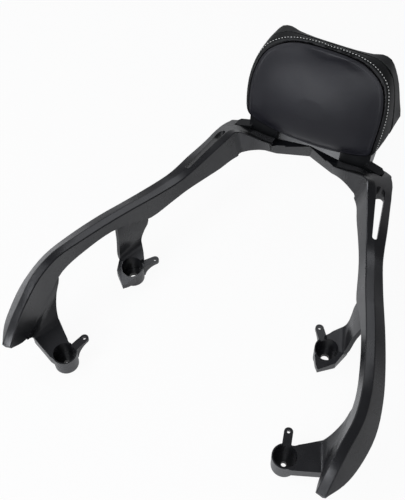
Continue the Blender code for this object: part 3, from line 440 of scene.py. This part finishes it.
leather_grain, entry, leave = new_group(
    "leather_grain", [("Cell Scale", 900.0), ("Crease Scale", 190.0)], ["Height", "Cloud"])
nodes, links = leather_grain.nodes, leather_grain.links
where = nodes.new("ShaderNodeTexCoord")
cells = nodes.new("ShaderNodeTexVoronoi")
cells.feature = "SMOOTH_F1"
creases = nodes.new("ShaderNodeTexNoise")
creases.inputs["Detail"].default_value = 3.0
cloud = nodes.new("ShaderNodeTexNoise")
cloud.inputs["Scale"].default_value = 16.0
cloud.inputs["Detail"].default_value = 2.0
for texture in (cells, creases, cloud):
    links.new(where.outputs["Object"], texture.inputs["Vector"])
links.new(entry.outputs["Cell Scale"], cells.inputs["Scale"])
links.new(entry.outputs["Crease Scale"], creases.inputs["Scale"])
both = nodes.new("ShaderNodeMath")
both.operation = "MULTIPLY_ADD"
both.inputs[1].default_value = CREASE_SHARE
links.new(creases.outputs["Fac"], both.inputs[0])
links.new(cells.outputs["Distance"], both.inputs[2])
links.new(both.outputs[0], leave.inputs["Height"])
links.new(cloud.outputs["Fac"], leave.inputs["Cloud"])


def leather(name, dark, light, rough_low, rough_high, gloss):
    """Grained leather between two shades, with painted shade pulling it to near-black where
    seam_shade marks the seam groove.
    """
    made, nodes, links = fresh_material(name)
    shader = nodes["Principled BSDF"]
    hide = nodes.new("ShaderNodeGroup")
    hide.node_tree = leather_grain
    tinted(nodes, links, hide.outputs["Cloud"], shader, dark, light)
    varied(nodes, links, hide.outputs["Cloud"], shader.inputs["Roughness"], rough_low, rough_high)
    bumped(nodes, links, hide.outputs["Height"], shader, strength=0.5, distance=0.00012)
    # Painted shade: the base colour is pulled towards near-black along the seam groove.
    seam = nodes.new("ShaderNodeAttribute")
    seam.attribute_name = "seam_shade"
    shaded = nodes.new("ShaderNodeMix")
    shaded.data_type = "RGBA"
    links.new(seam.outputs["Fac"], shaded.inputs["Factor"])
    links.new(shader.inputs["Base Color"].links[0].from_socket, shaded.inputs["A"])
    shaded.inputs["B"].default_value = PAINTED_SEAM_SHADE
    links.new(shaded.outputs["Result"], shader.inputs["Base Color"])
    shader.inputs["Specular IOR Level"].default_value = gloss
    return made


front_leather = leather("front_leather", (0.0070, 0.0070, 0.0102), (0.0100, 0.0101, 0.0140),
                        rough_low=0.40, rough_high=0.48, gloss=0.32)
side_leather = leather("gusset_leather", (0.0062, 0.0070, 0.0070), (0.0090, 0.0100, 0.0098),
                       rough_low=0.52, rough_high=0.60, gloss=0.30)


def outer_side(node, is_outer):
    """The outer faces of a CAD sheet, rounded, as a surface to find points on, and its border."""
    made = copy_of(node, node + "_outside")
    select_only(made)
    bpy.ops.object.mode_set(mode="EDIT")
    bpy.ops.mesh.select_mode(type="FACE")
    bpy.ops.mesh.select_all(action="DESELECT")
    bpy.ops.object.mode_set(mode="OBJECT")
    for face in made.data.polygons:
        face.select = not is_outer(face)
    bpy.ops.object.mode_set(mode="EDIT")
    bpy.ops.mesh.delete(type="FACE")
    bpy.ops.mesh.select_all(action="SELECT")
    bpy.ops.mesh.tris_convert_to_quads(face_threshold=1.0, shape_threshold=1.0)
    bpy.ops.object.mode_set(mode="OBJECT")
    shape = bmesh.new()
    shape.from_mesh(made.data)
    border = [vertex.co.copy() for vertex in shape.verts if vertex.is_boundary]
    shape.free()
    rounding = made.modifiers.new("rounding", "SUBSURF")
    rounding.levels = SHEET_LEVELS
    rounding.render_levels = SHEET_LEVELS
    bpy.ops.object.modifier_apply(modifier="rounding")
    shape = bmesh.new()
    shape.from_mesh(made.data)
    bmesh.ops.triangulate(shape, faces=shape.faces)
    tree = BVHTree.FromBMesh(shape)
    shape.free()
    bpy.data.objects.remove(made, do_unlink=True)
    return tree, border


low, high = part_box("gusset_band")
core = (low + high) / 2


def faces_away(face):
    """Whether a face of the gusset looks out from the cushion's middle."""
    away = face.center - core
    return face.normal.x * away.x + face.normal.z * away.z > 0


face_surface, rim = outer_side("face_panel", lambda face: face.normal.y < FRONT_FACING)
gusset_surface, gusset_rims = outer_side("gusset_band", faces_away)

# The seam runs along the front panel's rim.
middle = sum(rim, Vector()) / len(rim)
rim.sort(key=lambda p: math.atan2(p.z - middle.z, p.x - middle.x))


def smoothed_loop(points, spacing, passes):
    """A closed line of points, evened out and then spaced evenly along its length."""
    line = [point.copy() for point in points]
    for _ in range(passes):
        count = len(line)
        line = [(line[k - 1] + line[k] * 2 + line[(k + 1) % count]) / 4 for k in range(count)]
    lengths = [0.0]
    for k in range(len(line)):
        lengths.append(lengths[-1] + (line[(k + 1) % len(line)] - line[k]).length)
    count = round(lengths[-1] / spacing)
    even = []
    k = 0
    for step in range(count):
        reach = lengths[-1] * step / count
        while lengths[k + 1] < reach:
            k += 1
        share = (reach - lengths[k]) / max(lengths[k + 1] - lengths[k], 1e-9)
        even.append(line[k].lerp(line[(k + 1) % len(line)], share))
    return even


def rounded_loop(points, steps):
    """A closed smooth curve through points."""
    count = len(points)
    line = []
    for k in range(count):
        a, b, c, d = (points[(k + j - 1) % count] for j in range(4))
        for step in range(steps):
            s = step / steps
            line.append(0.5 * (2 * b + (c - a) * s + (2 * a - 5 * b + 4 * c - d) * s ** 2
                               + (3 * b - a - 3 * c + d) * s ** 3))
    return line


def tree_of(points):
    """A search tree for the nearest of some points."""
    found = kdtree.KDTree(len(points))
    for index, point in enumerate(points):
        found.insert(point, index)
    found.balance()
    return found


seam_line = smoothed_loop(rounded_loop(rim, CURVE_STEPS), SEAM_STEP, passes=2)
seam_tree = tree_of(seam_line)
rear_tree = tree_of([point for point in gusset_rims if seam_tree.find(point)[2] > GUSSET_LEAST])

cover = copy_of("foam_core", "leather_cushion")
panels = [copy_of(node, node + "_start") for node in ("face_panel", "gusset_band")]
select_only(cover, *panels)
bpy.ops.object.join()
remesh = cover.modifiers.new("remesh", "REMESH")
remesh.mode = "VOXEL"
remesh.voxel_size = VOXEL
remesh.use_smooth_shade = True
select_only(cover)
bpy.ops.object.modifier_apply(modifier="remesh")
bpy.ops.object.mode_set(mode="EDIT")
bpy.ops.mesh.select_all(action="SELECT")
bpy.ops.transform.shrink_fatten(value=-SLACK)
bpy.ops.mesh.vertices_smooth(factor=EASE, repeat=START_PASSES)
bpy.ops.object.mode_set(mode="OBJECT")
start = [vertex.co.copy() for vertex in cover.data.vertices]

cloth = cover.modifiers.new("cloth", "CLOTH")
cloth.settings.quality = 5
cloth.settings.mass = CLOTH_MASS
cloth.settings.tension_stiffness = CLOTH_TENSION
cloth.settings.compression_stiffness = CLOTH_TENSION
cloth.settings.shear_stiffness = CLOTH_SHEAR
cloth.settings.bending_stiffness = CLOTH_BENDING
cloth.settings.use_pressure = True
cloth.settings.uniform_pressure_force = CLOTH_PRESSURE
cloth.settings.effector_weights.gravity = 0.0
cloth.point_cache.frame_start = 1
cloth.point_cache.frame_end = CLOTH_FRAMES
for step in range(1, CLOTH_FRAMES + 1):
    bpy.context.scene.frame_set(step)
select_only(cover)
bpy.ops.object.modifier_apply(modifier="cloth")
bpy.context.scene.frame_set(1)

for vertex, origin in zip(cover.data.vertices, start):
    moved = vertex.co - origin
    if moved.length > SWELL_CAP:
        vertex.co = origin + moved.normalized() * SWELL_CAP
select_only(cover)
bpy.ops.object.mode_set(mode="EDIT")
bpy.ops.mesh.select_all(action="SELECT")
bpy.ops.mesh.vertices_smooth(factor=EASE, repeat=SWELL_PASSES)
bpy.ops.object.mode_set(mode="OBJECT")
round_off = cover.modifiers.new("finer", "SUBSURF")
round_off.levels = 1
round_off.render_levels = 1
select_only(cover)
bpy.ops.object.modifier_apply(modifier="finer")


def nearest_panel(point):
    """The nearest place on the sewn panels, how far it is, and whether it is on the front."""
    on_face = face_surface.find_nearest(point)
    on_side = gusset_surface.find_nearest(point)
    if on_face[3] < on_side[3]:
        return on_face[0], on_face[3], True
    return on_side[0], on_side[3], False


def from_seam(point):
    """How far a point is from the seam."""
    return seam_tree.find(point)[2]


# The cover lies on the sewn panels, closest near the seam and at the gusset's rear edge.
for vertex in cover.data.vertices:
    place, gap, in_front = nearest_panel(vertex.co)
    if gap > SEAM_REACH:
        continue
    least = PANEL_HOLD if in_front else GUSSET_HOLD
    distance = min(from_seam(vertex.co), rear_tree.find(vertex.co)[2])
    hold = least + (1.0 - least) * math.exp(-(distance / SEAM_REACH) ** 2 * HOLD_FALL)
    vertex.co = vertex.co.lerp(place, hold)

# The mesh is made finer in two steps towards the seam, and each step is laid on the panels.
for reach in (SEAM_NEAR, SEAM_NEAREST):
    select_only(cover)
    bpy.ops.object.mode_set(mode="EDIT")
    bpy.ops.mesh.select_mode(type="FACE")
    bpy.ops.mesh.select_all(action="DESELECT")
    bpy.ops.object.mode_set(mode="OBJECT")
    for face in cover.data.polygons:
        face.select = from_seam(face.center) < reach
    bpy.ops.object.mode_set(mode="EDIT")
    bpy.ops.mesh.subdivide(number_cuts=1, smoothness=0.0)
    bpy.ops.object.mode_set(mode="OBJECT")
    for vertex in cover.data.vertices:
        if from_seam(vertex.co) < reach:
            vertex.co = nearest_panel(vertex.co)[0]

# Both panels' edges are drawn together into one line, the seam.
select_only(cover)
bpy.ops.object.mode_set(mode="EDIT")
bpy.ops.mesh.select_mode(type="VERT")
bpy.ops.mesh.select_all(action="DESELECT")
bpy.ops.object.mode_set(mode="OBJECT")
for vertex in cover.data.vertices:
    vertex.select = from_seam(vertex.co) < SEAM_NEAREST
bpy.ops.object.mode_set(mode="EDIT")
bpy.ops.mesh.vertices_smooth(factor=EASE, repeat=SEAM_PASSES)
bpy.ops.object.mode_set(mode="OBJECT")
for vertex in cover.data.vertices:
    place, _, distance = seam_tree.find(vertex.co)
    vertex.co = vertex.co.lerp(place, math.exp(-(distance / SEAM_PULL) ** 2))
cover.data.update()

# The stitched edges are turned in, so a narrow groove runs along the seam; its dark shade is also
# painted into the leather's colour as seam_shade.
shade = cover.data.attributes.new("seam_shade", "FLOAT", "POINT")
inward = [-vertex.normal for vertex in cover.data.vertices]
for vertex, way, value in zip(cover.data.vertices, inward, shade.data):
    distance = from_seam(vertex.co)
    vertex.co += way * SEAM_DEPTH * math.exp(-(distance / SEAM_WIDTH) ** 2)
    value.value = math.exp(-(distance / SEAM_SHADE) ** 2)
cover.data.update()
cover.data.materials.clear()
cover.data.materials.append(front_leather)
cover.data.materials.append(side_leather)
for polygon in cover.data.polygons:
    polygon.use_smooth = True
    polygon.material_index = 0 if nearest_panel(polygon.center)[2] else 1
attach(cover, "root")
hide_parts("face_panel", "gusset_band", "foam_core")

# Seam welt, painted shade
# A thin cord laid in the seam between the front panel and the gusset.  It fills the groove, and
# its near-black colour is painted shade: it reads as the groove's dark line round the front of the
# cushion.

WELT_RADIUS = 0.00105
WELT_SINK = 0.0004
WELT_SIDES = 8
WELT_STEP = 0.0026
RAY_START = 0.03

cover_shape = bmesh.new()
cover_shape.from_mesh(cover.data)
cover_surface = BVHTree.FromBMesh(cover_shape)
cover_shape.free()

welt_line = []
for point in seam_line[::2]:
    outside = (point - core).normalized()
    hit = cover_surface.ray_cast(point + outside * RAY_START, -outside)
    if hit[0] is not None:
        welt_line.append(hit[0] - outside * WELT_SINK)
welt_line = smoothed_loop(welt_line, WELT_STEP, passes=6)
bpy.ops.object.select_all(action="DESELECT")
bpy.ops.mesh.primitive_torus_add(major_segments=len(welt_line), minor_segments=WELT_SIDES,
                                 major_radius=1.0, minor_radius=WELT_RADIUS)
welt = bpy.context.object
welt.name = "seam_welt_painted_shade"
for k, point in enumerate(welt_line):
    along = (welt_line[(k + 1) % len(welt_line)] - welt_line[k - 1]).normalized()
    out = (point - core).normalized()
    across = along.cross(out).normalized()
    out = across.cross(along)
    for j in range(WELT_SIDES):
        turn = 2 * math.pi * j / WELT_SIDES
        place = point + (across * math.cos(turn) + out * math.sin(turn)) * WELT_RADIUS
        welt.data.vertices[k * WELT_SIDES + j].co = place
welt.data.update()
bpy.ops.object.mode_set(mode="EDIT")
bpy.ops.mesh.select_all(action="SELECT")
bpy.ops.mesh.normals_make_consistent(inside=False)
bpy.ops.object.mode_set(mode="OBJECT")
bpy.ops.object.shade_smooth()
welt_painted_shade, nodes, links = fresh_material("welt_cord_painted_shade")
shader = nodes["Principled BSDF"]
shader.inputs["Roughness"].default_value = 0.9
shader.inputs["Specular IOR Level"].default_value = 0.04
where = nodes.new("ShaderNodeTexCoord")
weave = nodes.new("ShaderNodeTexNoise")
weave.inputs["Scale"].default_value = 1800.0
links.new(where.outputs["Object"], weave.inputs["Vector"])
# The cord's near-black colour, darker than the leather, is painted shade for the seam groove.
tinted(nodes, links, weave.outputs["Fac"], shader,
       dark=(0.0010, 0.0010, 0.0012), light=(0.0022, 0.0022, 0.0024))
bumped(nodes, links, weave.outputs["Fac"], shader, strength=0.5, distance=0.0001)
welt.data.materials.clear()
welt.data.materials.append(welt_painted_shade)
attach(welt, "root")

# Stitching
# One row of pale thread round the gusset, a few millimetres behind the seam.  Each stitch is
# a short bead of twisted thread that sinks at both ends into the leather.

STITCH_BACK = 0.0046
STITCH_PITCH = 0.0044
STITCH_LENGTH = 0.0023
THREAD_RADIUS = 0.00046
THREAD_RISE = 0.4

stitch_path = []
for point in seam_line[::4]:
    behind = point + Vector((0, STITCH_BACK, 0))
    outside = Vector((behind.x - middle.x, 0, behind.z - middle.z)).normalized()
    hit = cover_surface.ray_cast(behind + outside * RAY_START, -outside)
    if hit[0] is not None:
        stitch_path.append(hit[0])
stitch_path = smoothed_loop(stitch_path, STITCH_PITCH, passes=3)

bpy.ops.object.select_all(action="DESELECT")
bpy.ops.mesh.primitive_uv_sphere_add(segments=8, ring_count=6, radius=1.0)
bead = bpy.context.object
bead.name = "stitch_thread"
bead.data.transform(Matrix.Diagonal((STITCH_LENGTH / 2, THREAD_RADIUS, THREAD_RADIUS, 1)))
thread = bmesh.new()
for k, point in enumerate(stitch_path):
    along = (stitch_path[(k + 1) % len(stitch_path)] - stitch_path[k - 1]).normalized()
    out = cover_surface.find_nearest(point)[1]
    across = along.cross(out).normalized()
    out = across.cross(along)
    turn = Matrix((along, across, out)).transposed().to_4x4()
    place = Matrix.Translation(point + out * THREAD_RADIUS * THREAD_RISE) @ turn
    stitch = bead.data.copy()
    stitch.transform(place)
    thread.from_mesh(stitch)
    bpy.data.meshes.remove(stitch)
thread.to_mesh(bead.data)
thread.free()
bpy.ops.object.shade_smooth()

thread_white, nodes, links = fresh_material("pale_thread")
shader = nodes["Principled BSDF"]
shader.inputs["Roughness"].default_value = 0.75
where = nodes.new("ShaderNodeTexCoord")
twist = nodes.new("ShaderNodeTexNoise")
twist.inputs["Scale"].default_value = 2400.0
links.new(where.outputs["Object"], twist.inputs["Vector"])
tinted(nodes, links, twist.outputs["Fac"], shader,
       dark=(0.74, 0.74, 0.71), light=(0.88, 0.88, 0.85))
bumped(nodes, links, twist.outputs["Fac"], shader, strength=0.6, distance=0.0001)
bead.data.materials.clear()
bead.data.materials.append(thread_white)
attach(bead, "root")
